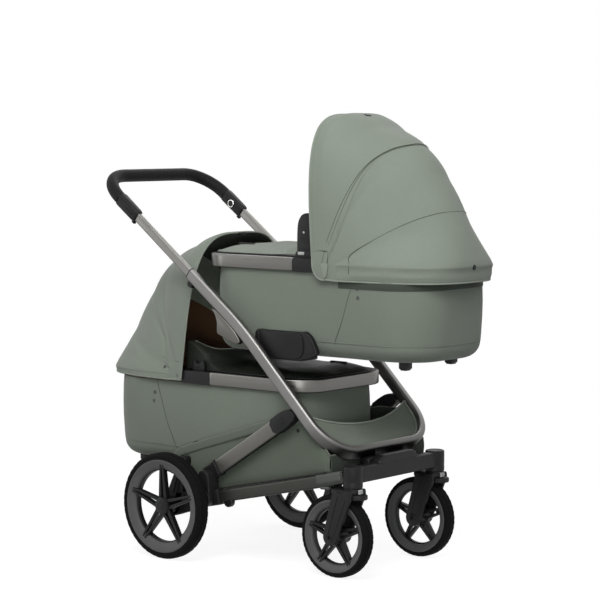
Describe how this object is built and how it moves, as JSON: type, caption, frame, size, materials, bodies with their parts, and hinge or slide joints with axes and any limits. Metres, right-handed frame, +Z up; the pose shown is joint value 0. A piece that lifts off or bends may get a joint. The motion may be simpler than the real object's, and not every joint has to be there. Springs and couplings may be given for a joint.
{
  "type": "twin pram",
  "caption": "Inline twin pram: tubular chassis with telescoping U handle, swivelling front casters, cloth basket and stacked lift-off carrycots with folding hoods.",
  "frame": {"origin": "on the ground, midway between the two hoods' far ends and between the wheels", "axes": "+X forward, towards the front casters; +Y to the pram's left; +Z up"},
  "size_m": [1.19, 0.6272, 1.2073],
  "materials": {
    "tube_bronze": "brushed, anodised",
    "tube_silver": "brushed, anodised",
    "rim_silver": "brushed, anodised",
    "black_plastic": "fine grain",
    "grey_plastic": "satin",
    "pale_plastic": "satin",
    "grip_leather": "grained",
    "tyre_rubber": "matte",
    "sage_cloth": "plain weave",
    "mattress_cloth": "soft knit"
  },
  "bodies": {
    "chassis": {"main_tube_right": "tube_bronze", "main_tube_left": "tube_bronze", "front_loop": "tube_bronze", "front_flap": "sage_cloth", "crossbar": "black_plastic", "crossbar_cover": "black_plastic", "leg_right": "tube_silver", "leg_left": "tube_silver", "leg_hinge_right": "black_plastic", "leg_hinge_left": "black_plastic", "rail_right": "tube_bronze", "rail_left": "tube_bronze", "carrier_right": "black_plastic", "carrier_left": "black_plastic", "rear_axle": "black_plastic", "basket": "sage_cloth", "upper_adapter_right": "black_plastic", "upper_adapter_left": "black_plastic", "lower_adapter_right": "black_plastic", "lower_adapter_left": "black_plastic"},
    "handle": {"handle_tube_right": "tube_silver", "handle_tube_left": "tube_silver", "handle_sleeve_right": "black_plastic", "handle_sleeve_left": "black_plastic", "handle_grip": "grip_leather"},
    "handle_button_right": {"handle_button_right": "grey_plastic"},
    "handle_button_left": {"handle_button_left": "grey_plastic"},
    "brake_pedal": {"brake_pedal": "black_plastic"},
    "rear_wheel_right": {"rear_tyre_right": "tyre_rubber", "rear_ring_right": "grey_plastic", "rear_spider_right": "black_plastic"},
    "caster_right": {"fork_right": "black_plastic"},
    "fork_button_right": {"fork_button_right": "pale_plastic"},
    "front_wheel_right": {"front_tyre_right": "tyre_rubber", "front_ring_right": "grey_plastic", "front_spider_right": "black_plastic"},
    "rear_wheel_left": {"rear_tyre_left": "tyre_rubber", "rear_ring_left": "grey_plastic", "rear_spider_left": "black_plastic"},
    "caster_left": {"fork_left": "black_plastic"},
    "fork_button_left": {"fork_button_left": "pale_plastic"},
    "front_wheel_left": {"front_tyre_left": "tyre_rubber", "front_ring_left": "grey_plastic", "front_spider_left": "black_plastic"},
    "upper_cot": {"upper_tub": "sage_cloth", "upper_rim": "rim_silver", "upper_hinges": "black_plastic", "upper_apron": "sage_cloth", "upper_mattress": "mattress_cloth", "upper_hood_rear": "sage_cloth"},
    "upper_hood": {"upper_hood_front": "sage_cloth", "upper_hood_ears": "black_plastic"},
    "lower_cot": {"lower_tub": "sage_cloth", "lower_rim": "rim_silver", "lower_hinges": "black_plastic", "lower_apron": "sage_cloth", "lower_mattress": "mattress_cloth", "lower_hood_rear": "sage_cloth"},
    "lower_hood": {"lower_hood_front": "sage_cloth", "lower_hood_ears": "black_plastic"}
  },
  "joints": [
    {"name": "rear_wheel_right_spin", "type": "hinge", "parent": "chassis", "child": "rear_wheel_right", "pos_m": [-0.22, -0.288, 0.145], "axis": [0, 1, 0], "continuous": true},
    {"name": "caster_right_swivel", "type": "hinge", "parent": "chassis", "child": "caster_right", "pos_m": [0.343, -0.179, 0.25], "axis": [0, 0, 1], "continuous": true},
    {"name": "front_wheel_right_spin", "type": "hinge", "parent": "caster_right", "child": "front_wheel_right", "pos_m": [0.292, -0.179, 0.1095], "axis": [0, 1, 0], "continuous": true},
    {"name": "fork_button_right_press", "type": "slide", "parent": "caster_right", "child": "fork_button_right", "axis": [-1, 0, 0], "range_m": [0, 0.002], "stiffness_N_per_m": 400},
    {"name": "handle_button_right_press", "type": "slide", "parent": "handle", "child": "handle_button_right", "axis": [0, -1, 0], "range_m": [0, 0.002], "stiffness_N_per_m": 400},
    {"name": "rear_wheel_left_spin", "type": "hinge", "parent": "chassis", "child": "rear_wheel_left", "pos_m": [-0.22, 0.288, 0.145], "axis": [0, 1, 0], "continuous": true},
    {"name": "caster_left_swivel", "type": "hinge", "parent": "chassis", "child": "caster_left", "pos_m": [0.343, 0.179, 0.25], "axis": [0, 0, 1], "continuous": true},
    {"name": "front_wheel_left_spin", "type": "hinge", "parent": "caster_left", "child": "front_wheel_left", "pos_m": [0.292, 0.179, 0.1095], "axis": [0, 1, 0], "continuous": true},
    {"name": "fork_button_left_press", "type": "slide", "parent": "caster_left", "child": "fork_button_left", "axis": [-1, 0, 0], "range_m": [0, 0.002], "stiffness_N_per_m": 400},
    {"name": "handle_button_left_press", "type": "slide", "parent": "handle", "child": "handle_button_left", "axis": [0, 1, 0], "range_m": [0, 0.002], "stiffness_N_per_m": 400},
    {"name": "handle_slide", "type": "slide", "parent": "chassis", "child": "handle", "axis": [0.7986, 0, -0.6018], "range_m": [0, 0.1]},
    {"name": "brake_pedal_press", "type": "hinge", "parent": "chassis", "child": "brake_pedal", "pos_m": [-0.252, 0, 0.173], "axis": [0, -1, 0], "range_deg": [0, 15]},
    {"name": "upper_cot_lift", "type": "slide", "parent": "chassis", "child": "upper_cot", "axis": [0, 0, 1], "range_m": [0, 0.5]},
    {"name": "upper_hood_fold", "type": "hinge", "parent": "upper_cot", "child": "upper_hood", "pos_m": [0.258, 0, 0.814], "axis": [0, 1, 0], "range_deg": [0, 37]},
    {"name": "lower_cot_lift", "type": "slide", "parent": "chassis", "child": "lower_cot", "axis": [-0.9986, 0, 0.0523], "range_m": [0, 0.85]},
    {"name": "lower_hood_fold", "type": "hinge", "parent": "lower_cot", "child": "lower_hood", "pos_m": [-0.258, 0, 0.49], "axis": [0, -1, 0], "range_deg": [0, 35]}
  ]
}
